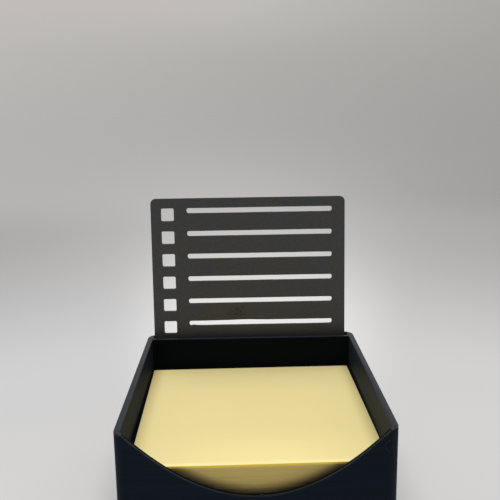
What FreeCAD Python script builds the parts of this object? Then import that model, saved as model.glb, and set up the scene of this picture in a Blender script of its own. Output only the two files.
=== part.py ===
import FreeCAD, Part
import math
import os
import re
import Sketcher
from FreeCAD import Placement, Rotation, Vector

# Sticky note dispenser: a square tray of note pads with a checklist stencil standing in its rear wall.
# The origin is the centre of the tray's base. +Z is up, -Y is the front with the finger scoop, +X is to the right.

# Driving sizes in millimetres, the lean in degrees.
SIZES = [
    ("note_side", 76.0, "side of a square note, and of the stencil plate, which is as large as a note"),
    ("note_corner_radius", 0.2, "corners of a note"),
    ("pad_height", 10.5, "height of one pad of notes"),
    ("rim_above_pads", 11.5, "from the top note up to the tray's rim"),
    ("side_clearance", 0.9, "room beside a pad, on each side"),
    ("depth_clearance", 4.6, "room in front of and behind a pad, together"),
    ("pad_left_gap", 0.7, "from the top pad's nearest corner to the left wall"),
    ("pad_right_gap", 0.18, "from the top pad's nearest corner to the right wall"),
    ("pad_front_gap", 1.25, "from the top pad's nearest corner to the front wall"),
    ("wall_thickness", 2.0, "front and side walls"),
    ("floor_thickness", 2.0, "tray floor"),
    ("outer_corner_radius", 4.0, "upright outer corners"),
    ("inner_corner_radius", 0.8, "upright corners of the cavity"),
    ("base_chamfer", 0.4, "bevel round the foot of the tray"),
    ("scoop_margin", 0.6, "rim left between the scoop and the side of the cavity"),
    ("scoop_depth", 19.75, "from the rim down to the scoop's lowest point"),
    ("lip_thickness", 1.45, "rear wall in front of the slot, and behind it"),
    ("slot_depth", 20.9, "rear slot, from the rim down"),
    ("slot_end_clearance", 0.75, "room in the slot at each end of the plate, when it is centred"),
    ("slot_corner_radius", 0.3, "upright corners of the slot"),
    ("plate_fit", 0.05, "air between the plate and the slot faces that it leans and stands on"),
    ("plate_left_gap", 0.385, "from the plate's left edge to the slot's left end"),
    ("lean_angle", 4.114, "how far the plate leans back"),
    ("plate_thickness", 1.5, "stencil plate"),
    ("plate_corner_radius", 2.0, "corners of the plate"),
    ("top_margin", 3.85, "from the plate's top edge to the first row"),
    ("left_margin", 4.0, "from the plate's left edge to the tick boxes"),
    ("box_side", 5.0, "square tick box opening"),
    ("box_corner_radius", 0.6, "corners of a tick box"),
    ("box_to_line", 5.0, "from a tick box to its writing line"),
    ("right_margin", 5.0, "from a writing line to the plate's right edge"),
    ("line_width", 2.0, "writing line opening"),
    ("line_corner_radius", 0.8, "corners of a writing line"),
    ("row_pitch", 9.0, "from one row to the next"),
]

# Sizes that follow from the driving ones.
DERIVED = {
    "tray_height": "floor_thickness + 3 * pad_height + rim_above_pads",
    "cavity_width": "note_side + 2 * side_clearance",
    "cavity_length": "note_side + depth_clearance",
    "slot_length": "note_side + 2 * slot_end_clearance",
    "lean": "lean_angle * 1 deg",
    "slot_width": "plate_thickness * cos(lean) + (slot_depth - plate_fit) * tan(lean) + 2 * plate_fit",
    "rear_wall": "2 * lip_thickness + slot_width",
    "outer_width": "cavity_width + 2 * wall_thickness",
    "outer_length": "wall_thickness + cavity_length + rear_wall",
    "corner_radius": "min(outer_corner_radius; 2.5 * wall_thickness)",
    "cavity_centre": "(wall_thickness - rear_wall) / 2",
    "slot_centre": "(outer_length - rear_wall) / 2",
    "scoop_half_width": "cavity_width / 2 - scoop_margin",
    "pad_turn": "asin((2 * side_clearance - pad_left_gap - pad_right_gap) / note_side)",
    "pad_shift": "(pad_left_gap - pad_right_gap) / 2",
    "pad_reach": "note_side * (cos(pad_turn) + sin(pad_turn)) / 2",
    "pad_centre": "wall_thickness + pad_front_gap + pad_reach - outer_length / 2",
    "line_length": "note_side - left_margin - box_side - box_to_line - right_margin",
    "line_radius": "min(line_corner_radius; 0.45 * line_width)",
    "row_count": "floor((note_side - 2 * top_margin - box_side) / row_pitch) + 1",
}

# The pads lie askew. From the floor up: each one's share of the top pad's turn, and of its shift sideways.
PADS = [("note_pad_bottom", 0.4, -0.5), ("note_pad_middle", -0.5, 0.3), ("note_pad_top", 1.0, 1.0)]

RIGHT_ANGLE = math.pi / 2


def make_sheet(document):
    sheet = document.addObject("Spreadsheet::Sheet", "dimensions")
    for row, (name, size, note) in enumerate(SIZES, start=1):
        sheet.set("A%d" % row, note)
        sheet.set("B%d" % row, str(size))
        sheet.setAlias("B%d" % row, name)
    document.recompute()


def formula(text):
    """Writes a formula on named sizes out as an expression on the sheet's cells."""
    sizes = {name for name, size, note in SIZES}

    def cell(match):
        name = match.group()
        if name in DERIVED:
            return "(" + formula(DERIVED[name]) + ")"
        return "dimensions." + name if name in sizes else name

    return re.sub("[a-z_]+", cell, text)


def bind(item, name, text):
    item.setExpression(name, formula(text))


def new_body(document, label):
    body = document.addObject("PartDesign::Body", label)
    body.Label = label
    return body


def origin_feature(body, role):
    return next(item for item in body.Origin.OriginFeatures if item.Role == role)


def new_sketch(body, name, role, **offset):
    """A sketch on one of the body's origin planes. The formulas in offset move it by x and y in its own plane
    and by z along its normal."""
    sketch = body.newObject("Sketcher::SketchObject", name)
    sketch.AttachmentSupport = [(origin_feature(body, role), "")]
    sketch.MapMode = "FlatFace"
    for axis, text in offset.items():
        bind(sketch, "AttachmentOffset.Base." + axis, text)
    return sketch


def constrain(sketch, kind, *where):
    return sketch.addConstraint(Sketcher.Constraint(kind, *where))


def measure(sketch, name, text, kind, *where):
    """A driving measure in the sketch, with a name of its own and a formula for its value."""
    sketch.renameConstraint(constrain(sketch, kind, *where), name)
    bind(sketch, "Constraints." + name, text)


def draw_rectangle(sketch, width, height, radius):
    """A rectangle with round corners, centred on the sketch's origin. Its sizes are formulas."""
    x, y, r = 20.0, 15.0, 5.0
    corners = [Vector(x - r, r - y), Vector(x - r, y - r), Vector(r - x, y - r), Vector(r - x, r - y)]
    ends = [
        (Vector(r - x, -y), Vector(x - r, -y)),
        (Vector(x, r - y), Vector(x, y - r)),
        (Vector(x - r, y), Vector(r - x, y)),
        (Vector(-x, y - r), Vector(-x, r - y)),
    ]
    sides = [sketch.addGeometry(Part.LineSegment(*pair), False) for pair in ends]
    arcs = []
    for turn, middle in enumerate(corners):
        circle = Part.Circle(middle, Vector(0, 0, 1), r)
        start = (turn - 1) * RIGHT_ANGLE
        arcs.append(sketch.addGeometry(Part.ArcOfCircle(circle, start, start + RIGHT_ANGLE), False))
    for turn in range(4):
        constrain(sketch, "Tangent", sides[turn], 2, arcs[turn], 1)
        constrain(sketch, "Tangent", arcs[turn], 2, sides[(turn + 1) % 4], 1)
    constrain(sketch, "Horizontal", sides[2])
    constrain(sketch, "Vertical", sides[3])
    constrain(sketch, "Symmetric", sides[0], 1, sides[0], 2, -2)
    constrain(sketch, "Symmetric", sides[1], 1, sides[1], 2, -1)
    for arc in arcs[1:]:
        constrain(sketch, "Equal", arcs[0], arc)
    measure(sketch, "radius", radius, "Radius", arcs[0], r)
    measure(sketch, "width", width, "DistanceX", sides[3], 1, sides[1], 1, 2 * x)
    measure(sketch, "height", height, "DistanceY", sides[0], 1, sides[2], 1, 2 * y)


def draw_scoop(sketch):
    """A parabola hung from the rim at the sketch's origin: a quadratic curve with three control points."""
    half, deep, above = 30.0, 15.0, 5.0
    poles = [Vector(-half, 0), Vector(0, -2 * deep), Vector(half, 0)]
    curve = sketch.addGeometry(Part.BSplineCurve(poles, None, None, False, 2, None, False), False)
    sketch.exposeInternalGeometry(curve)
    left, middle, right = curve + 1, curve + 2, curve + 3
    corners = [Vector(half, 0), Vector(half, above), Vector(-half, above), Vector(-half, 0)]
    sides = [
        sketch.addGeometry(Part.LineSegment(corners[turn], corners[turn + 1]), False) for turn in range(3)
    ]
    chain = [curve] + sides
    for turn in range(4):
        constrain(sketch, "Coincident", chain[turn], 2, chain[(turn + 1) % 4], 1)
    constrain(sketch, "Vertical", sides[0])
    constrain(sketch, "Horizontal", sides[1])
    constrain(sketch, "Vertical", sides[2])
    constrain(sketch, "PointOnObject", left, 3, -1)
    constrain(sketch, "PointOnObject", middle, 3, -2)
    constrain(sketch, "PointOnObject", right, 3, -1)
    measure(sketch, "left_half", "scoop_half_width", "DistanceX", left, 3, -1, 1, half)
    measure(sketch, "right_half", "scoop_half_width", "DistanceX", -1, 1, right, 3, half)
    measure(sketch, "twice_depth", "2 * scoop_depth", "DistanceY", middle, 3, -1, 1, 2 * deep)
    measure(sketch, "above_rim", "wall_thickness", "DistanceY", sides[0], 1, sides[0], 2, above)


def extrude(body, name, sketch, length, backwards=False):
    pad = body.newObject("PartDesign::Pad", name)
    pad.Profile = sketch
    pad.Reversed = backwards
    bind(pad, "Length", length)
    body.Document.recompute()
    return pad


def cut(body, name, sketch, depth=None, towards_normal=False):
    """A pocket against the sketch's normal, or along it. Without a depth it goes through all."""
    before = body.Shape.Volume
    pocket = body.newObject("PartDesign::Pocket", name)
    pocket.Profile = sketch
    pocket.Reversed = towards_normal
    if depth is None:
        pocket.Type = "ThroughAll"
    else:
        bind(pocket, "Length", depth)
    body.Document.recompute()
    if not body.Shape.Volume < before:
        raise ValueError(name + " cuts nothing")
    return pocket


def face_below(shape):
    """The name of the lowest level face."""
    heights = [face.BoundBox.ZMax for face in shape.Faces]
    return "Face%d" % (heights.index(min(heights)) + 1)


def make_tray(document):
    body = new_body(document, "tray")
    foot = new_sketch(body, "tray_outline", "XY_Plane")
    draw_rectangle(foot, "outer_width", "outer_length", "corner_radius")
    block = extrude(body, "tray_block", foot, "tray_height")

    bevel = body.newObject("PartDesign::Chamfer", "foot_bevel")
    bevel.Base = (block, [face_below(block.Shape)])
    bind(bevel, "Size", "base_chamfer")
    document.recompute()

    well = new_sketch(body, "cavity_outline", "XY_Plane", y="cavity_centre", z="tray_height")
    draw_rectangle(well, "cavity_width", "cavity_length", "inner_corner_radius")
    cut(body, "cavity", well, "tray_height - floor_thickness")

    slot = new_sketch(body, "slot_outline", "XY_Plane", y="slot_centre", z="tray_height")
    draw_rectangle(slot, "slot_length", "slot_width", "slot_corner_radius")
    cut(body, "stencil_slot", slot, "slot_depth")

    # From the middle of the cavity forwards, so that only the front wall is cut.
    scoop = new_sketch(body, "scoop_outline", "XZ_Plane", y="tray_height", z="-cavity_centre")
    draw_scoop(scoop)
    cut(body, "finger_scoop", scoop, towards_normal=True)
    return body


def make_stencil(document):
    """Drawn upright, its front face in the XZ plane and its lower edge on the X axis, then leaned back."""
    body = new_body(document, "stencil")
    plate = new_sketch(body, "plate_outline", "XZ_Plane", y="note_side / 2")
    draw_rectangle(plate, "note_side", "note_side", "plate_corner_radius")
    extrude(body, "plate", plate, "plate_thickness", backwards=True)

    box_x = "left_margin + box_side / 2 - note_side / 2"
    box_y = "note_side - top_margin - box_side / 2"
    box = new_sketch(body, "box_outline", "XZ_Plane", x=box_x, y=box_y)
    draw_rectangle(box, "box_side", "box_side", "box_corner_radius")
    tick_box = cut(body, "tick_box", box)

    line_x = "note_side / 2 - right_margin - line_length / 2"
    line_y = "note_side - top_margin - line_width / 2"
    line = new_sketch(body, "line_outline", "XZ_Plane", x=line_x, y=line_y)
    draw_rectangle(line, "line_length", "line_width", "line_radius")
    writing_line = cut(body, "writing_line", line)

    rows = body.newObject("PartDesign::LinearPattern", "rows")
    rows.Originals = [tick_box, writing_line]
    rows.Direction = (origin_feature(body, "Z_Axis"), [""])
    rows.Reversed = True
    bind(rows, "Length", "(row_count - 1) * row_pitch")
    bind(rows, "Occurrences", "row_count")
    body.Tip = rows

    body.Placement = Placement(Vector(), Rotation(Vector(1, 0, 0), -1))
    bind(body, "Placement.Rotation.Angle", "-lean_angle")
    bind(body, "Placement.Base.x", "plate_left_gap - slot_end_clearance")
    bind(body, "Placement.Base.y", "outer_length / 2 - lip_thickness - slot_width + plate_fit")
    bind(body, "Placement.Base.z", "tray_height - slot_depth + plate_fit + plate_thickness * sin(lean)")
    document.recompute()
    return body


def make_pad(document, label, place, turn_share, shift_share):
    """One pad of notes, the given number of pads above the floor."""
    body = new_body(document, label)
    note = new_sketch(body, label + "_note", "XY_Plane")
    draw_rectangle(note, "note_side", "note_side", "note_corner_radius")
    extrude(body, label + "_block", note, "pad_height")
    body.Placement = Placement(Vector(), Rotation(Vector(0, 0, 1), 1))
    bind(body, "Placement.Rotation.Angle", "%g * pad_turn" % turn_share)
    bind(body, "Placement.Base.x", "%g * pad_shift" % shift_share)
    bind(body, "Placement.Base.y", "pad_centre")
    bind(body, "Placement.Base.z", "floor_thickness + %d * pad_height" % place)
    document.recompute()
    return body


def check(document, pieces):
    for item in document.Objects:
        if "Invalid" in item.State or "Error" in item.State:
            raise ValueError(item.Name + " failed")
    for piece in pieces:
        if piece.Shape.isNull() or not piece.Shape.isValid():
            raise ValueError(piece.Label + " has no valid shape")


def main():
    document = FreeCAD.newDocument("sticky_note_dispenser")
    make_sheet(document)
    pieces = [make_tray(document), make_stencil(document)]
    for place, (label, turn_share, shift_share) in enumerate(PADS):
        pieces.append(make_pad(document, label, place, turn_share, shift_share))
    document.recompute()
    check(document, pieces)
    os.makedirs("parts", exist_ok=True)
    for piece in pieces:
        piece.Shape.exportStep(os.path.join("parts", piece.Label + ".step"))


main()
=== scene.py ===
import math

import bmesh
import bpy
from mathutils import Matrix, Vector


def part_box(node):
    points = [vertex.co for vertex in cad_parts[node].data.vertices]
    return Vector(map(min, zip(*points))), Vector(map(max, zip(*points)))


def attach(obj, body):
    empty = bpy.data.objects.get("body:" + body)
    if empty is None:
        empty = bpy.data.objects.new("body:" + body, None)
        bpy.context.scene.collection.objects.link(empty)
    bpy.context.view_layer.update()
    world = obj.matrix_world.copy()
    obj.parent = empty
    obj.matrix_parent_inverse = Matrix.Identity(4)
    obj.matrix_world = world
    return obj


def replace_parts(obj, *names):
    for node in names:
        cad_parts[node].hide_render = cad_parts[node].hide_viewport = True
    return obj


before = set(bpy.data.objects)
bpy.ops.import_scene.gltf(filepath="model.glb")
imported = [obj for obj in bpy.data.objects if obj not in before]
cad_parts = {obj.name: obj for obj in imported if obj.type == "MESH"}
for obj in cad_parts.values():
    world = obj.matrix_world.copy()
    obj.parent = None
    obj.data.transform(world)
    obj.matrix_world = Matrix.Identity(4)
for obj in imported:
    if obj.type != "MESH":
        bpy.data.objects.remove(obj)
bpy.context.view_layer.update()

MM = 0.001

# The photograph's camera: a square image, its focal length in pixels, and angles in radians.
IMAGE_SIZE = 500
FOCAL_LENGTH = 702.54
CAMERA_PLACE = Vector((-4.022, -227.245, 135.969)) * MM
CAMERA_YAW = 0.01575
CAMERA_PITCH = 0.20578
CAMERA_ROLL = -0.01431

# The tray.
TRAY_SIZE = Vector((81.8, 88.596, 45.0)) * MM
TRAY_CORNER = 4.0 * MM
TRAY_EDGE_ROUND = 0.22 * MM
LAYER = 0.2 * MM
BEAD = 0.42 * MM

# Plastic left on the tray, in mm: drops with their place and radius, and the route of one hair.
CORNER_DROPS = [
    (-39.48, -40.9, 45.0, 0.22),
    (-39.2, -43.0, 45.0, 0.26),
    (39.68, -41.5, 45.0, 0.22),
    (39.5, -43.2, 45.0, 0.26),
]
SCOOP_DROPS = [(1.19, -43.6, 25.45, 0.3)]
WHISKER_ROUTE = [
    (37.9, -44.2, 42.0),
    (37.0, -44.35, 41.8),
    (36.4, -44.4, 40.7),
    (36.7, -44.4, 39.6),
    (37.4, -44.35, 38.7),
    (37.9, -44.2, 38.2),
]
WHISKER_RADIUS = 0.075

# The stencil, drawn flat as it is printed and then leaned back in the slot.
PLATE = {
    "Side": 76.0 * MM,
    "Thickness": 1.5 * MM,
    "Corner": 2.0 * MM,
    "Rows": 8,
    "Pitch": 9.0 * MM,
    "Top margin": 3.85 * MM,
    "Left margin": 4.0 * MM,
    "Box side": 5.0 * MM,
    "Box corner": 0.6 * MM,
    "Line start": 14.0 * MM,
    "Line length": 57.0 * MM,
    "Line width": 2.0 * MM,
    "Line corner": 0.8 * MM,
    "Waviness": 0.07 * MM,
}
PLATE_EDGE_ROUND = 0.12 * MM
PLATE_LEAN = math.radians(4.114)
PLATE_FOOT = Vector((-0.365, 39.802, 24.2576)) * MM

# The notes. Only the top pad is fanned, and each pad has its turn in degrees.
SHEETS = {
    "Side": 76.0 * MM,
    "Sheets": 100,
    "Pitch": 0.105 * MM,
    "Gap": 0.014 * MM,
    "Slip": 0.03 * MM,
    "Drift": 0.14 * MM,
    "Twist": math.radians(0.03),
    "Cockle": 0.1 * MM,
    "Fanned depth": 0.7 * MM,
    "Fan": 0.0,
}
TOP_FAN = 0.3 * MM
PAD_TURNS = {"note_pad_bottom": 0.2774, "note_pad_middle": -0.3468, "note_pad_top": 0.6936}

# The studio. The floor's half side and depth are in metres, and the angles of the lamp are in degrees.
FLOOR_REACH = 8
FLOOR_DEPTH = 0.02 * MM
LAMP_STRENGTH = 2.46
LAMP_SPREAD = 50
LAMP_TURNS = (-3, -1.5)
SEEN_EXTRA = 0.035


def srgb(red, green, blue):
    """A colour that is written from 0 to 255, as the linear values that the sockets take."""
    shares = [value / 255 for value in (red, green, blue)]
    return tuple([s / 12.92 if s <= 0.04045 else ((s + 0.055) / 1.055) ** 2.4 for s in shares] + [1.0])


class Wire:
    """A node's output. Arithmetic on it adds the Math nodes that work it out."""

    def __init__(self, nodes, socket):
        self.nodes = nodes
        self.socket = socket

    def out(self, name):
        """Another output of the same node."""
        return Wire(self.nodes, self.socket.node.outputs[name])

    def math(self, operation, *values):
        return self.nodes.add("ShaderNodeMath", {"operation": operation}, dict(enumerate(values)))

    def __add__(self, other):
        return self.math("ADD", self, other)

    def __radd__(self, other):
        return self.math("ADD", other, self)

    def __sub__(self, other):
        return self.math("SUBTRACT", self, other)

    def __rsub__(self, other):
        return self.math("SUBTRACT", other, self)

    def __mul__(self, other):
        return self.math("MULTIPLY", self, other)

    def __truediv__(self, other):
        return self.math("DIVIDE", self, other)

    def __rtruediv__(self, other):
        return self.math("DIVIDE", other, self)

    def __neg__(self):
        return self.math("MULTIPLY", self, -1.0)

    def __abs__(self):
        return self.math("ABSOLUTE", self)

    def __mod__(self, other):
        return self.math("FLOORED_MODULO", self, other)

    def least(self, other):
        return self.math("MINIMUM", self, other)

    def most(self, other):
        return self.math("MAXIMUM", self, other)

    def root(self):
        return self.math("SQRT", self)

    def bell(self, width):
        """1 where the value is 0, falling smoothly to nothing over a few widths."""
        ratio = self / width
        return self.math("EXPONENT", -(ratio * ratio))

    def waves(self, length):
        """A wave from -1 to 1 that repeats after the given length."""
        return self.math("COSINE", self * (2 * math.pi / length))

    def step(self, low, high):
        """0 below low, 1 above high and smooth between them."""
        settings = {"interpolation_type": "SMOOTHSTEP"}
        sockets = {"Value": self, "From Min": low, "From Max": high}
        return self.nodes.add("ShaderNodeMapRange", settings, sockets)


class Nodes:
    """A node tree that is filled by calls."""

    def __init__(self, tree):
        self.tree = tree

    def add(self, kind, settings=None, sockets=None, output=0):
        """Adds a node. Its settings come first, then the value of each socket or the wires that feed it."""
        node = self.tree.nodes.new(kind)
        for name, value in (settings or {}).items():
            setattr(node, name, value)
        for name, value in (sockets or {}).items():
            wires = value if isinstance(value, list) else [value]
            for wire in wires:
                if isinstance(wire, Wire):
                    self.tree.links.new(wire.socket, node.inputs[name])
                else:
                    node.inputs[name].default_value = wire
        return Wire(self, node.outputs[output]) if node.outputs else None

    def blend(self, share, first, second):
        """From the first colour to the second."""
        settings = {"data_type": "RGBA"}
        return self.add("ShaderNodeMix", settings, {0: share, 6: first, 7: second}, output=2)

    def join(self, x, y, z):
        return self.add("ShaderNodeCombineXYZ", None, {"X": x, "Y": y, "Z": z})

    def split(self, vector):
        parts = self.add("ShaderNodeSeparateXYZ", None, {"Vector": vector})
        return parts, parts.out("Y"), parts.out("Z")

    def noise(self, vector, scale, detail=2.0):
        """Smooth noise from about -1 to 1."""
        noise = self.add("ShaderNodeTexNoise", None, {"Vector": vector, "Scale": scale, "Detail": detail})
        return noise.out("Fac") * 2.0 - 1.0

    def stretched_noise(self, place, x, y, z, detail=2.0):
        """Noise whose grain has its own count to the metre along each axis."""
        across, along, up = place
        return self.noise(self.join(across * x, along * y, up * z), 1.0, detail)


class Finish(Nodes):
    """A material whose pattern follows the place on the piece."""

    def __init__(self, name, origin=(0, 0, 0), turn=(0, 0, 0)):
        self.material = bpy.data.materials.new(name)
        self.material.use_nodes = True
        super().__init__(self.material.node_tree)
        self.tree.nodes.clear()
        kind = {"vector_type": "TEXTURE"}
        here = self.add("ShaderNodeTexCoord", None, None, output="Object")
        flat = self.add("ShaderNodeMapping", kind, {"Vector": here, "Location": origin, "Rotation": turn})
        self.place = self.split(flat)
        faces = self.add("ShaderNodeNewGeometry", None, None, output="Normal")
        facing = self.add("ShaderNodeMapping", kind, {"Vector": faces, "Rotation": turn})
        self.facing = self.split(facing)

    def close(self, colour, roughness, height=None, **constants):
        """Ends the material in one shader. The height is in metres."""
        sockets = {"Base Color": colour, "Roughness": roughness}
        if height is not None:
            sockets["Normal"] = self.add("ShaderNodeBump", None, {"Height": height, "Distance": 1.0})
        for name, value in constants.items():
            sockets[name.replace("_", " ")] = value
        shader = self.add("ShaderNodeBsdfPrincipled", None, sockets)
        self.add("ShaderNodeOutputMaterial", None, {"Surface": shader})
        return self.material


def distance_to_round_rectangle(x, y, half_width, half_length, corner):
    """Distance from an outline with round corners, negative inside it."""
    across = abs(x) - (half_width - corner)
    along = abs(y) - (half_length - corner)
    over_x = across.most(0.0)
    over_y = along.most(0.0)
    outside = (over_x * over_x + over_y * over_y).root()
    inside = across.most(along).least(0.0)
    return outside + inside - corner


def navy_print(name, colours, roughness, shine):
    """Nearly black navy plastic, laid down in thin level layers, with loops of bead on its level faces."""
    finish = Finish(name)
    x, y, z = finish.place
    level = abs(finish.facing[2]).step(0.8, 0.98)
    edge = distance_to_round_rectangle(x, y, TRAY_SIZE.x / 2, TRAY_SIZE.y / 2, TRAY_CORNER)

    layers = z.waves(LAYER) * (0.006 * MM)
    wander = finish.stretched_noise(finish.place, 25.0, 25.0, 2600.0) * (0.016 * MM)
    ripple = finish.stretched_noise(finish.place, 160.0, 160.0, 60.0) * (0.02 * MM)
    loops = edge.waves(BEAD) * level * (0.012 * MM)
    grain = finish.stretched_noise(finish.place, 9000.0, 9000.0, 9000.0) * (0.0025 * MM)
    # A seam runs up the rear left corner, where each layer starts.
    seam_x = x + 39.9 * MM
    seam_y = y - 43.3 * MM
    seam = (seam_x * seam_x + seam_y * seam_y).root().bell(0.5 * MM) * (0.08 * MM)
    height = layers + wander + ripple + loops + grain + seam

    tone = finish.stretched_noise(finish.place, 30.0, 30.0, 1800.0) * 0.5 + 0.5
    colour = finish.blend(tone.step(0.15, 0.85), *colours)
    # Inside the walls, below the rim, painted shade darkens the plastic nearly to black.
    inside = (-edge).step(0.25 * MM, 0.4 * MM) * (1.0 - z.step(44.5 * MM, 44.8 * MM))
    colour = finish.blend(inside * 0.85, colour, srgb(4, 6, 3))
    # Along the scoop's cut, a painted highlight lightens one bead. It breaks up in places, and is weakest at
    # the bottom.
    cut = finish.facing[2].step(0.2, 0.4) * (1.0 - y.step(-42.5 * MM, -42.4 * MM)) * inside
    painted_shading_share = finish.stretched_noise(finish.place, 700.0, 700.0, 700.0) * 0.35 + 0.65
    bead = (edge + 0.65 * MM).bell(0.16 * MM) * cut * painted_shading_share * (z.step(24.0 * MM, 36.0 * MM) * 0.6 + 0.4)
    colour = finish.blend(bead, colour, srgb(92, 94, 92))
    gloss = finish.stretched_noise(finish.place, 40.0, 40.0, 1200.0) * 0.06 + roughness
    haze = {"Sheen_Weight": 0.07, "Sheen_Roughness": 0.3, "Sheen_Tint": srgb(200, 222, 255)}
    return finish.close(colour, gloss, height, Specular_IOR_Level=shine, **haze)


def charcoal_print():
    """Charcoal plastic, printed flat: loops of bead round each opening and slanting rows of bead between."""
    turn = (math.pi / 2 - PLATE_LEAN, 0, 0)
    finish = Finish("charcoal_printed_plastic", PLATE_FOOT, turn)
    x, y, z = finish.place
    level = abs(finish.facing[2]).step(0.8, 0.98)

    top = PLATE["Side"] - PLATE["Top margin"]
    row = (top + (PLATE["Pitch"] - PLATE["Box side"]) / 2 - y) % PLATE["Pitch"]
    down = row - (PLATE["Pitch"] - PLATE["Box side"]) / 2
    left = PLATE["Left margin"] - PLATE["Side"] / 2
    box_x = x - (left + PLATE["Box side"] / 2)
    box_y = down - PLATE["Box side"] / 2
    box = distance_to_round_rectangle(
        box_x, box_y, PLATE["Box side"] / 2, PLATE["Box side"] / 2, PLATE["Box corner"]
    )
    line_x = x - (PLATE["Line start"] - PLATE["Side"] / 2 + PLATE["Line length"] / 2)
    line_y = down - PLATE["Line width"] / 2
    line = distance_to_round_rectangle(
        line_x, line_y, PLATE["Line length"] / 2, PLATE["Line width"] / 2, PLATE["Line corner"]
    )
    rim = -distance_to_round_rectangle(
        x, y - PLATE["Side"] / 2, PLATE["Side"] / 2, PLATE["Side"] / 2, PLATE["Corner"]
    )
    edge = box.least(line).least(rim)
    looped = 1.0 - edge.step(2.0 * BEAD, 2.2 * BEAD)
    loops = edge.waves(BEAD) * looped
    rows = (x * 0.7071 + y * 0.7071).waves(BEAD) * (1.0 - looped)
    grain = finish.stretched_noise(finish.place, 7000.0, 7000.0, 7000.0) * (0.003 * MM)
    wander = finish.stretched_noise(finish.place, 400.0, 400.0, 400.0) * (0.008 * MM)
    sides = z.waves(LAYER) * (1.0 - level) * (0.006 * MM)
    height = (loops + rows) * level * (0.004 * MM) + grain + wander + sides

    mottle = finish.stretched_noise(finish.place, 900.0, 900.0, 900.0, 4.0) * 0.8 + 0.5
    cool = finish.blend(mottle, srgb(63, 65, 70), srgb(77, 78, 82))
    warm = finish.blend(mottle, srgb(65, 65, 62), srgb(79, 79, 73))
    patches = finish.stretched_noise(finish.place, 110.0, 110.0, 110.0, 3.0) * 1.6 + 0.4
    plain = finish.blend(patches, cool, warm)
    # Painted shade darkens it towards the bottom, where it goes into the slot.
    painted_shading_share = (1.0 - y.step(20.5 * MM, 25.5 * MM)) * 0.55
    plain = finish.blend(painted_shading_share, plain, srgb(38, 38, 38))
    # A scorched patch above one line of the front face, with a yellowed ring round it and dark specks in it.
    front = finish.facing[2].step(0.0, 0.5)
    patch_x = x + 5.0 * MM
    patch_y = y - 29.8 * MM
    away = (patch_x * patch_x + patch_y * patch_y).root()
    plain = finish.blend(away.bell(8.0 * MM) * front * 0.35, plain, srgb(78, 74, 52))
    specks = finish.stretched_noise(finish.place, 900.0, 900.0, 900.0, 3.0).step(0.0, 0.25)
    colour = finish.blend(away.bell(3.0 * MM) * front * (specks * 0.75 + 0.25), plain, srgb(28, 19, 6))
    return finish.close(colour, mottle * 0.1 + 0.57, height, Specular_IOR_Level=0.3)


def note_paper():
    """Pale yellow paper, with the cut edges of the sheets a deeper yellow."""
    low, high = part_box("note_pad_top")
    middle = ((low[0] + high[0]) / 2, (low[1] + high[1]) / 2, 0.0)
    finish = Finish("yellow_note_paper", middle, (0, 0, math.radians(PAD_TURNS["note_pad_top"])))
    x, y, z = finish.place
    level = abs(finish.facing[2]).step(0.6, 0.95)
    fibres = finish.stretched_noise(finish.place, 1400.0, 1400.0, 1400.0, 5.0)
    clouds = finish.stretched_noise(finish.place, 45.0, 45.0, 45.0, 3.0)
    face = finish.blend(fibres * 0.2 + clouds * 0.3 + 0.5, srgb(233, 216, 150), srgb(238, 223, 160))
    # The paper has painted light and shade: palest at the middle of its front, a little pale at its rear,
    # darker towards its sides.
    front = (-y).step(12.0 * MM, 36.0 * MM) * (x - 3.0 * MM).bell(30.0 * MM)
    rear = y.step(18.0 * MM, 30.0 * MM) * 0.4
    face = finish.blend(front + rear, face, srgb(250, 231, 163))
    sides = abs(x).step(32.0 * MM, 38.0 * MM)
    face = finish.blend(sides * 0.5, face, srgb(224, 207, 142))
    # A painted highlight lightens a strip along the top sheet's front edge.
    painted_edge_highlight = 1.0 - (y + SHEETS["Side"] / 2).step(0.8 * MM, 2.6 * MM)
    face = finish.blend(painted_edge_highlight * 0.8, face, srgb(255, 245, 178))
    stripes = finish.stretched_noise(finish.place, 35.0, 35.0, 5200.0, 3.0) * 0.5 + 0.5
    cut = finish.blend(stripes.step(0.1, 0.9), srgb(228, 202, 123), srgb(242, 217, 136))
    # Painted shade darkens the edges of the sheets just above the scoop, where the front wall shades them.
    above_scoop = z - x * x * (0.0144 / MM) - 25.25 * MM
    painted_scoop_shade = (1.0 - above_scoop.step(-1.0 * MM, 2.8 * MM)) * (1.0 - (y + 36.0 * MM).step(0.0, 1.0 * MM))
    cut = finish.blend(painted_scoop_shade * 0.85, cut, srgb(112, 94, 68))
    # Light comes through the edges of the uppermost sheets and turns them golden.
    golden = z.step(32.95 * MM, 33.1 * MM)
    gold = finish.blend(painted_scoop_shade, srgb(252, 218, 88), srgb(226, 178, 52))
    cut = finish.blend(golden, cut, gold)
    # The level strips that show along the front have the colour of the cut edges.
    stepped = (-y).step(SHEETS["Side"] / 2 - 0.25 * MM, SHEETS["Side"] / 2 - 0.15 * MM)
    colour = finish.blend(level * (1.0 - stepped), cut, face)
    height = fibres * (0.006 * MM) + clouds * (0.03 * MM)
    return finish.close(colour, 0.78, height, Specular_IOR_Level=0.25)


def new_piece(name, mesh, material=None):
    """A finished piece, which rides on the part's one body."""
    piece = bpy.data.objects.new(name, mesh)
    bpy.context.scene.collection.objects.link(piece)
    mesh.name = name
    if material:
        mesh.materials.clear()
        mesh.materials.append(material)
    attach(piece, "root")
    return piece


def finished_mesh(carrier):
    """The mesh of an object as its modifiers leave it. The object itself is removed."""
    bpy.context.scene.collection.objects.link(carrier)
    evaluated = carrier.evaluated_get(bpy.context.evaluated_depsgraph_get())
    mesh = bpy.data.meshes.new_from_object(evaluated)
    bpy.data.objects.remove(carrier)
    return mesh


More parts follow.
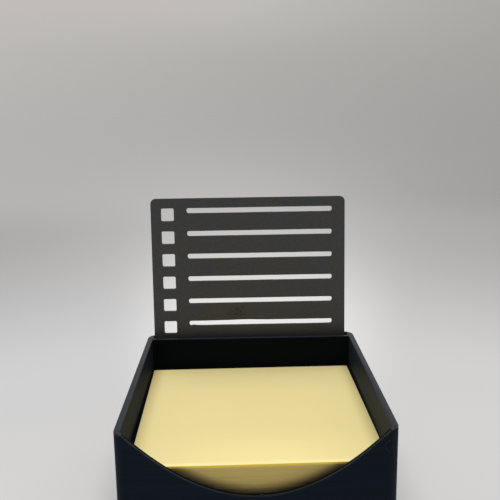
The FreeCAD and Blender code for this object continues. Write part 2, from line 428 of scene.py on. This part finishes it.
def merged_flats(mesh):
    """Merges a mesh's doubles and the triangles of each flat face."""
    shape = bmesh.new()
    shape.from_mesh(mesh)
    bmesh.ops.remove_doubles(shape, verts=shape.verts, dist=0.001 * MM)
    bmesh.ops.dissolve_limit(shape, angle_limit=math.radians(0.3), verts=shape.verts, edges=shape.edges)
    for face in shape.faces:
        face.smooth = True
    shape.to_mesh(mesh)
    shape.free()
    return mesh


def softened(mesh, radius, material=-1):
    """Rounds the sharp edges of a mesh. The rounded strips can have a material of their own."""
    carrier = bpy.data.objects.new("carrier", merged_flats(mesh))
    rounding = carrier.modifiers.new("rounding", "BEVEL")
    rounding.width = radius
    rounding.segments = 2
    rounding.limit_method = "ANGLE"
    rounding.angle_limit = math.radians(32)
    rounding.harden_normals = True
    rounding.miter_outer = "MITER_ARC"
    rounding.material = material
    return finished_mesh(carrier)


def geometry_tree(name, sizes):
    """A geometry tree with a named input for each size. Returns it with the wires from those inputs."""
    tree = bpy.data.node_groups.new(name, "GeometryNodeTree")
    for size, value in sizes.items():
        kind = "NodeSocketInt" if isinstance(value, int) else "NodeSocketFloat"
        tree.interface.new_socket(size, in_out="INPUT", socket_type=kind)
    tree.interface.new_socket("Geometry", in_out="OUTPUT", socket_type="NodeSocketGeometry")
    nodes = Nodes(tree)
    entry = nodes.add("NodeGroupInput")
    return nodes, {size: entry.out(size) for size in sizes}


def close_tree(nodes, geometry, material):
    """Ends a geometry tree in plain mesh of one material."""
    whole = nodes.add("GeometryNodeRealizeInstances", None, {"Geometry": geometry})
    dressed = nodes.add("GeometryNodeSetMaterial", None, {"Geometry": whole, "Material": material})
    nodes.add("NodeGroupOutput", None, {"Geometry": dressed})


def grown(nodes, sizes):
    """The plain mesh that a geometry tree makes from these sizes."""
    carrier = bpy.data.objects.new("carrier", bpy.data.meshes.new("carrier"))
    modifier = carrier.modifiers.new("grow", "NODES")
    modifier.node_group = nodes.tree
    for item in nodes.tree.interface.items_tree:
        if item.in_out == "INPUT":
            modifier[item.identifier] = sizes[item.name]
    return finished_mesh(carrier)


def stencil_tree(material):
    """A plate with rows of openings, each a box and a line, printed with slightly wavy edges."""
    nodes, size = geometry_tree("stencil_plate", PLATE)

    def outline(width, height, corner, cuts):
        sides = {"Width": width, "Height": height}
        rectangle = nodes.add("GeometryNodeCurvePrimitiveQuadrilateral", None, sides)
        divided = nodes.add("GeometryNodeSubdivideCurve", None, {"Curve": rectangle, "Cuts": cuts})
        rounding = {"Curve": divided, "Count": 6, "Radius": corner}
        return nodes.add("GeometryNodeFilletCurve", {"mode": "POLY"}, rounding)

    def moved(geometry, x, y):
        return nodes.add(
            "GeometryNodeTransform", None, {"Geometry": geometry, "Translation": nodes.join(x, y, 0.0)}
        )

    half = size["Side"] / 2.0
    top = half - size["Top margin"]
    index = nodes.add("GeometryNodeInputIndex")
    long_side_cuts = (1.0 - index % 2.0) * 60.0
    box = outline(size["Box side"], size["Box side"], size["Box corner"], 2)
    box = moved(box, size["Left margin"] + size["Box side"] / 2.0 - half, top - size["Box side"] / 2.0)
    line = outline(size["Line length"], size["Line width"], size["Line corner"], long_side_cuts)
    line = moved(line, size["Line start"] + size["Line length"] / 2.0 - half, top - size["Line width"] / 2.0)
    row = nodes.add("GeometryNodeJoinGeometry", None, {"Geometry": [box, line]})
    places = nodes.add(
        "GeometryNodeMeshLine", None, {"Count": size["Rows"], "Offset": nodes.join(0.0, -size["Pitch"], 0.0)}
    )
    rows = nodes.add("GeometryNodeInstanceOnPoints", None, {"Points": places, "Instance": row})
    rows = nodes.add("GeometryNodeRealizeInstances", None, {"Geometry": rows})
    rim = outline(size["Side"], size["Side"], size["Corner"], 24)
    curves = nodes.add("GeometryNodeJoinGeometry", None, {"Geometry": [rim, rows]})

    here = nodes.add("GeometryNodeInputPosition")
    x, y, _ = nodes.split(here)
    sway_x = nodes.noise(here, 160.0) * size["Waviness"]
    sway_y = nodes.noise(nodes.join(y, x, 0.01), 160.0) * size["Waviness"]
    # In one line the upper edge has sagged open and the lower edge has a small nub on it.
    upper = (y + 10.85 * MM).bell(0.5 * MM) * (x + 2.0 * MM).bell(6.0 * MM) * (0.2 * MM)
    nub = (y + 12.85 * MM).bell(0.5 * MM) * (x + 22.3 * MM).bell(0.9 * MM) * (0.25 * MM)
    inside = 1.0 - abs(x).most(abs(y)).step(37.0 * MM, 37.4 * MM)
    shift = nodes.join(sway_x * inside, sway_y * inside + upper + nub, 0.0)
    curves = nodes.add("GeometryNodeSetPosition", None, {"Geometry": curves, "Offset": shift})

    face = nodes.add("GeometryNodeFillCurve", {"mode": "TRIANGLES"}, {"Curve": curves})
    up = nodes.join(0.0, 0.0, 1.0)
    raising = {"Mesh": face, "Offset": up, "Offset Scale": size["Thickness"], "Individual": False}
    raised = nodes.add("GeometryNodeExtrudeMesh", {"mode": "FACES"}, raising)
    back = nodes.add("GeometryNodeFlipFaces", None, {"Mesh": face})
    shell = nodes.add("GeometryNodeJoinGeometry", None, {"Geometry": [raised, back]})
    shell = nodes.add("GeometryNodeMergeByDistance", None, {"Geometry": shell, "Distance": 0.002 * MM})
    close_tree(nodes, shell, material)
    return nodes


def make_stencil(material):
    """The plate with its openings, stood upright and leaned back in the slot."""
    mesh = grown(stencil_tree(material), PLATE)
    raised = Matrix.Translation((0, PLATE["Thickness"], PLATE["Side"] / 2))
    upright = raised @ Matrix.Rotation(math.pi / 2, 4, "X")
    leaned = Matrix.Translation(PLATE_FOOT) @ Matrix.Rotation(-PLATE_LEAN, 4, "X") @ upright
    mesh.transform(leaned)
    plate = new_piece("stencil_plate", softened(mesh, PLATE_EDGE_ROUND))
    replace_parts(plate, "stencil")


def sheets_tree(material):
    """A stack of thin sheets. All but the last lie a little askew, and the pile wanders as it rises."""
    nodes, size = geometry_tree("note_sheets", SHEETS)
    sheet_size = nodes.join(size["Side"], size["Side"], size["Pitch"] - size["Gap"])
    sheet = nodes.add(
        "GeometryNodeMeshCube", None, {"Size": sheet_size, "Vertices X": 4, "Vertices Y": 4, "Vertices Z": 2}
    )
    middle = nodes.join(0.0, 0.0, size["Pitch"] / 2.0)
    step = nodes.join(0.0, 0.0, size["Pitch"])
    places = nodes.add(
        "GeometryNodeMeshLine", None, {"Count": size["Sheets"], "Start Location": middle, "Offset": step}
    )
    index = nodes.add("GeometryNodeInputIndex")
    loose = (size["Sheets"] - 1.0 - index).step(0.0, 6.0)
    slip = nodes.add(
        "FunctionNodeRandomValue",
        {"data_type": "FLOAT_VECTOR"},
        {0: (-1.0, -1.0, 0.0), 1: (1.0, 1.0, 0.0), "Seed": 7},
    )
    slip_x, slip_y, _ = nodes.split(slip)
    drift = nodes.noise(nodes.join(0.0, 0.0, index * 0.09), 1.0, 3.0) * size["Drift"]
    shift = nodes.join(slip_x * size["Slip"] * loose, (slip_y * size["Slip"] + drift) * loose, 0.0)
    places = nodes.add("GeometryNodeSetPosition", None, {"Geometry": places, "Offset": shift})
    either_way = {2: -1.0, 3: 1.0, "Seed": 11}
    twist = nodes.add("FunctionNodeRandomValue", {"data_type": "FLOAT"}, either_way, output=1)
    turn = nodes.join(0.0, 0.0, twist * size["Twist"] * loose)
    stack = nodes.add(
        "GeometryNodeInstanceOnPoints", None, {"Points": places, "Instance": sheet, "Rotation": turn}
    )
    stack = nodes.add("GeometryNodeRealizeInstances", None, {"Geometry": stack})
    here = nodes.add("GeometryNodeInputPosition")
    x, y, z = nodes.split(here)
    height = size["Pitch"] * size["Sheets"]
    bulge = nodes.noise(nodes.join(x, y, 0.0), 30.0) * size["Cockle"] * z / height
    # Along the front, each of the uppermost sheets lies a little behind the one under it.
    under = ((height - z) / size["Fanned depth"]).least(1.0).most(0.0)
    front = 1.0 - (y / size["Side"]).step(-0.49, -0.48)
    fan = nodes.join(0.0, -(under * front * size["Fan"]), bulge)
    stack = nodes.add("GeometryNodeSetPosition", None, {"Geometry": stack, "Offset": fan})
    close_tree(nodes, stack, material)
    return nodes


def make_pads(material):
    """The three pads of notes, each grown where the construction model has its block."""
    tree = sheets_tree(material)
    for node, turn in PAD_TURNS.items():
        low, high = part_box(node)
        middle = (Vector(low) + Vector(high)) / 2
        mesh = grown(tree, {**SHEETS, "Fan": TOP_FAN} if node == "note_pad_top" else SHEETS)
        place = Matrix.Translation((middle.x, middle.y, low[2]))
        mesh.transform(place @ Matrix.Rotation(math.radians(turn), 4, "Z"))
        pad = new_piece(node + "_sheets", mesh)
        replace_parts(pad, node)


def make_tray(walls, edges, rim):
    """The tray, with its rounded edges and its level rim in finishes of their own."""
    finishes = [walls, edges, rim]
    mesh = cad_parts["tray"].data.copy()
    mesh.materials.clear()
    for material in finishes:
        mesh.materials.append(material)
    mesh = softened(mesh, TRAY_EDGE_ROUND, finishes.index(edges))
    # The rounded edges of the scoop's cut keep the finish of the walls.
    for face in mesh.polygons:
        x, y, z = face.center / MM
        on_rim = face.normal.z > 0.99 and z > 44.9
        in_scoop = y < -40 and abs(x) < 36 and 24 < z < 44.5
        if on_rim:
            face.material_index = finishes.index(rim)
        elif in_scoop:
            face.material_index = finishes.index(walls)
    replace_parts(new_piece("tray_shell", mesh), "tray")


def make_crumbs(name, drops, material):
    """Small drops of plastic. Each has its place and its radius in mm."""
    shape = bmesh.new()
    for x, y, z, radius in drops:
        place = Matrix.Translation(Vector((x, y, z)) * MM) @ Matrix.Diagonal((1.3, 1.0, 0.6, 1.0))
        bmesh.ops.create_icosphere(shape, subdivisions=3, radius=radius * MM, matrix=place)
    for face in shape.faces:
        face.smooth = True
    mesh = bpy.data.meshes.new(name)
    shape.to_mesh(mesh)
    shape.free()
    new_piece(name, mesh, material)


def make_whisker(material):
    """A hair of plastic that was left on the front wall by the nozzle."""
    curve = bpy.data.curves.new("front_whisker", "CURVE")
    curve.dimensions = "3D"
    curve.bevel_depth = WHISKER_RADIUS * MM
    curve.bevel_resolution = 2
    curve.use_fill_caps = True
    spline = curve.splines.new("NURBS")
    spline.points.add(len(WHISKER_ROUTE) - 1)
    for point, place in zip(spline.points, WHISKER_ROUTE):
        point.co = (*(Vector(place) * MM), 1.0)
    spline.order_u = 3
    spline.use_endpoint_u = True
    mesh = finished_mesh(bpy.data.objects.new("carrier", curve))
    new_piece("front_whisker", mesh, material)


def backdrop_colour(nodes, slope, side, ahead):
    """The pale surroundings. Slope is how far below the horizon a place lies from where the photograph was
    taken, as a tangent. Side and ahead are the shares of its direction to the right and straight ahead."""
    side = side.most(-0.4).least(0.4)
    ahead = ahead.step(0.0, 0.5)
    upper = nodes.blend(slope.step(-0.2, 0.06), srgb(181, 179, 175), srgb(168, 167, 165))
    lower = nodes.blend(slope.step(0.36, 0.58), srgb(207, 206, 205), srgb(212, 211, 210))
    grey = nodes.blend(slope.step(0.165, 0.39), upper, lower)
    # High up, the left is brighter than the right. Level with the stencil, the middle is brighter than the
    # sides, with a narrow pool of light in it.
    tilt = (1.0 - slope.step(0.12, 0.18)) * 0.38 + slope.step(0.43, 0.58) * 0.066
    middle = ((slope - 0.2).bell(0.115) + (1.0 - slope.step(-0.14, -0.05)) * 0.4) * side.bell(0.22) * 0.285
    pool = (slope - 0.31).bell(0.12) * (1.0 - abs(side - 0.027).step(0.07, 0.23)) * 0.33
    gain = 1.0 - tilt * side + (middle + pool) * ahead
    # The upper left has a faint blush of pink, and the left below it is a little blue.
    blush = (1.0 - slope.step(-0.165, -0.04)) * (-side).step(-0.1, 0.15) * ahead * 0.03
    cool = (slope - 0.32).bell(0.11) * (-side).step(0.0, 0.25) * ahead * 0.025
    scale = nodes.join(gain + blush, gain - blush, gain + cool)
    settings = {"data_type": "RGBA", "blend_type": "MULTIPLY", "clamp_result": False}
    return nodes.add("ShaderNodeMix", settings, {0: 1.0, 6: grey, 7: scale}, output=2)


def add_floor():
    """A level floor, just under the tray, that has the colours of the surroundings."""
    finish = Finish("pale_floor")
    x, y, _ = finish.place
    across = x - CAMERA_PLACE.x
    along = y - CAMERA_PLACE.y
    reach = (across * across + along * along).root().most(0.05)
    colour = backdrop_colour(finish, CAMERA_PLACE.z / reach, across / reach, along / reach)
    finish.close(colour, 1.0, Specular_IOR_Level=0.0)
    mesh = bpy.data.meshes.new("floor")
    far = FLOOR_REACH
    mesh.from_pydata([(-far, -far, 0), (far, -far, 0), (far, far, 0), (-far, far, 0)], [], [(0, 1, 2, 3)])
    mesh.transform(Matrix.Translation((0, 0, -FLOOR_DEPTH)))
    mesh.materials.append(finish.material)
    floor = bpy.data.objects.new("floor", mesh)
    bpy.context.scene.collection.objects.link(floor)


def add_world():
    """Soft light from all round, stronger from behind and from the right, and the pale surroundings."""
    world = bpy.data.worlds.new("studio")
    bpy.context.scene.world = world
    world.use_nodes = True
    nodes = Nodes(world.node_tree)
    nodes.tree.nodes.clear()
    towards = nodes.add("ShaderNodeTexCoord", None, None, output="Generated")
    x, y, z = nodes.split(towards)
    reach = (x * x + y * y).root().most(0.01)
    shown = backdrop_colour(nodes, -z / reach, x / reach, y / reach)
    strength = (y.step(-0.5, 0.8) * 0.25 + (1.0 - z.step(0.1, 0.5)) * 0.3 + 0.12) * (1.0 + x * 0.6)
    light = nodes.join(strength, strength, strength)
    path = nodes.add("ShaderNodeLightPath", None, None, output="Is Camera Ray")
    seen = path.most(path.out("Is Glossy Ray")).most(path.out("Is Transmission Ray"))
    colour = nodes.blend(seen, light, shown)
    # What is seen is as bright as the lit floor, so that no horizon shows.
    brightness = seen * SEEN_EXTRA + 1.0
    background = nodes.add("ShaderNodeBackground", None, {"Color": colour, "Strength": brightness})
    nodes.add("ShaderNodeOutputWorld", None, {"Surface": background})


def add_lamp():
    """A wide soft lamp overhead, a little behind the object and to its left."""
    lamp = bpy.data.lights.new("overhead", "SUN")
    lamp.energy = LAMP_STRENGTH
    lamp.angle = math.radians(LAMP_SPREAD)
    holder = bpy.data.objects.new("overhead", lamp)
    holder.rotation_euler = (math.radians(LAMP_TURNS[0]), math.radians(LAMP_TURNS[1]), 0)
    bpy.context.scene.collection.objects.link(holder)


def add_camera():
    """The photograph's own camera, with its lens worked out for a sensor of this width."""
    data = bpy.data.cameras.new("camera")
    data.sensor_width = 36.0
    data.lens = FOCAL_LENGTH / IMAGE_SIZE * data.sensor_width
    camera = bpy.data.objects.new("camera", data)
    heading = Matrix.Rotation(-CAMERA_YAW, 4, "Z") @ Matrix.Rotation(math.pi / 2 - CAMERA_PITCH, 4, "X")
    camera.matrix_world = Matrix.Translation(CAMERA_PLACE) @ heading @ Matrix.Rotation(CAMERA_ROLL, 4, "Z")
    bpy.context.scene.collection.objects.link(camera)
    bpy.context.scene.camera = camera


def main():
    bpy.context.scene.view_settings.view_transform = "Standard"
    # The edges and rim finishes are shinier than the walls and painted lighter too, as painted highlights and
    # painted light.
    walls = navy_print("navy_printed_plastic", (srgb(22, 30, 38), srgb(26, 35, 44)), 0.47, 0.03)
    edges = navy_print("navy_printed_edges", (srgb(31, 35, 42), srgb(44, 48, 55)), 0.38, 0.17)
    rim = navy_print("navy_printed_rim", (srgb(26, 31, 40), srgb(32, 38, 47)), 0.42, 0.3)
    make_tray(walls, edges, rim)
    make_crumbs("rim_crumbs", CORNER_DROPS, walls)
    make_crumbs("scoop_crumb", SCOOP_DROPS, edges)
    make_whisker(edges)
    make_stencil(charcoal_print())
    make_pads(note_paper())
    add_floor()
    add_world()
    add_lamp()
    add_camera()


main()
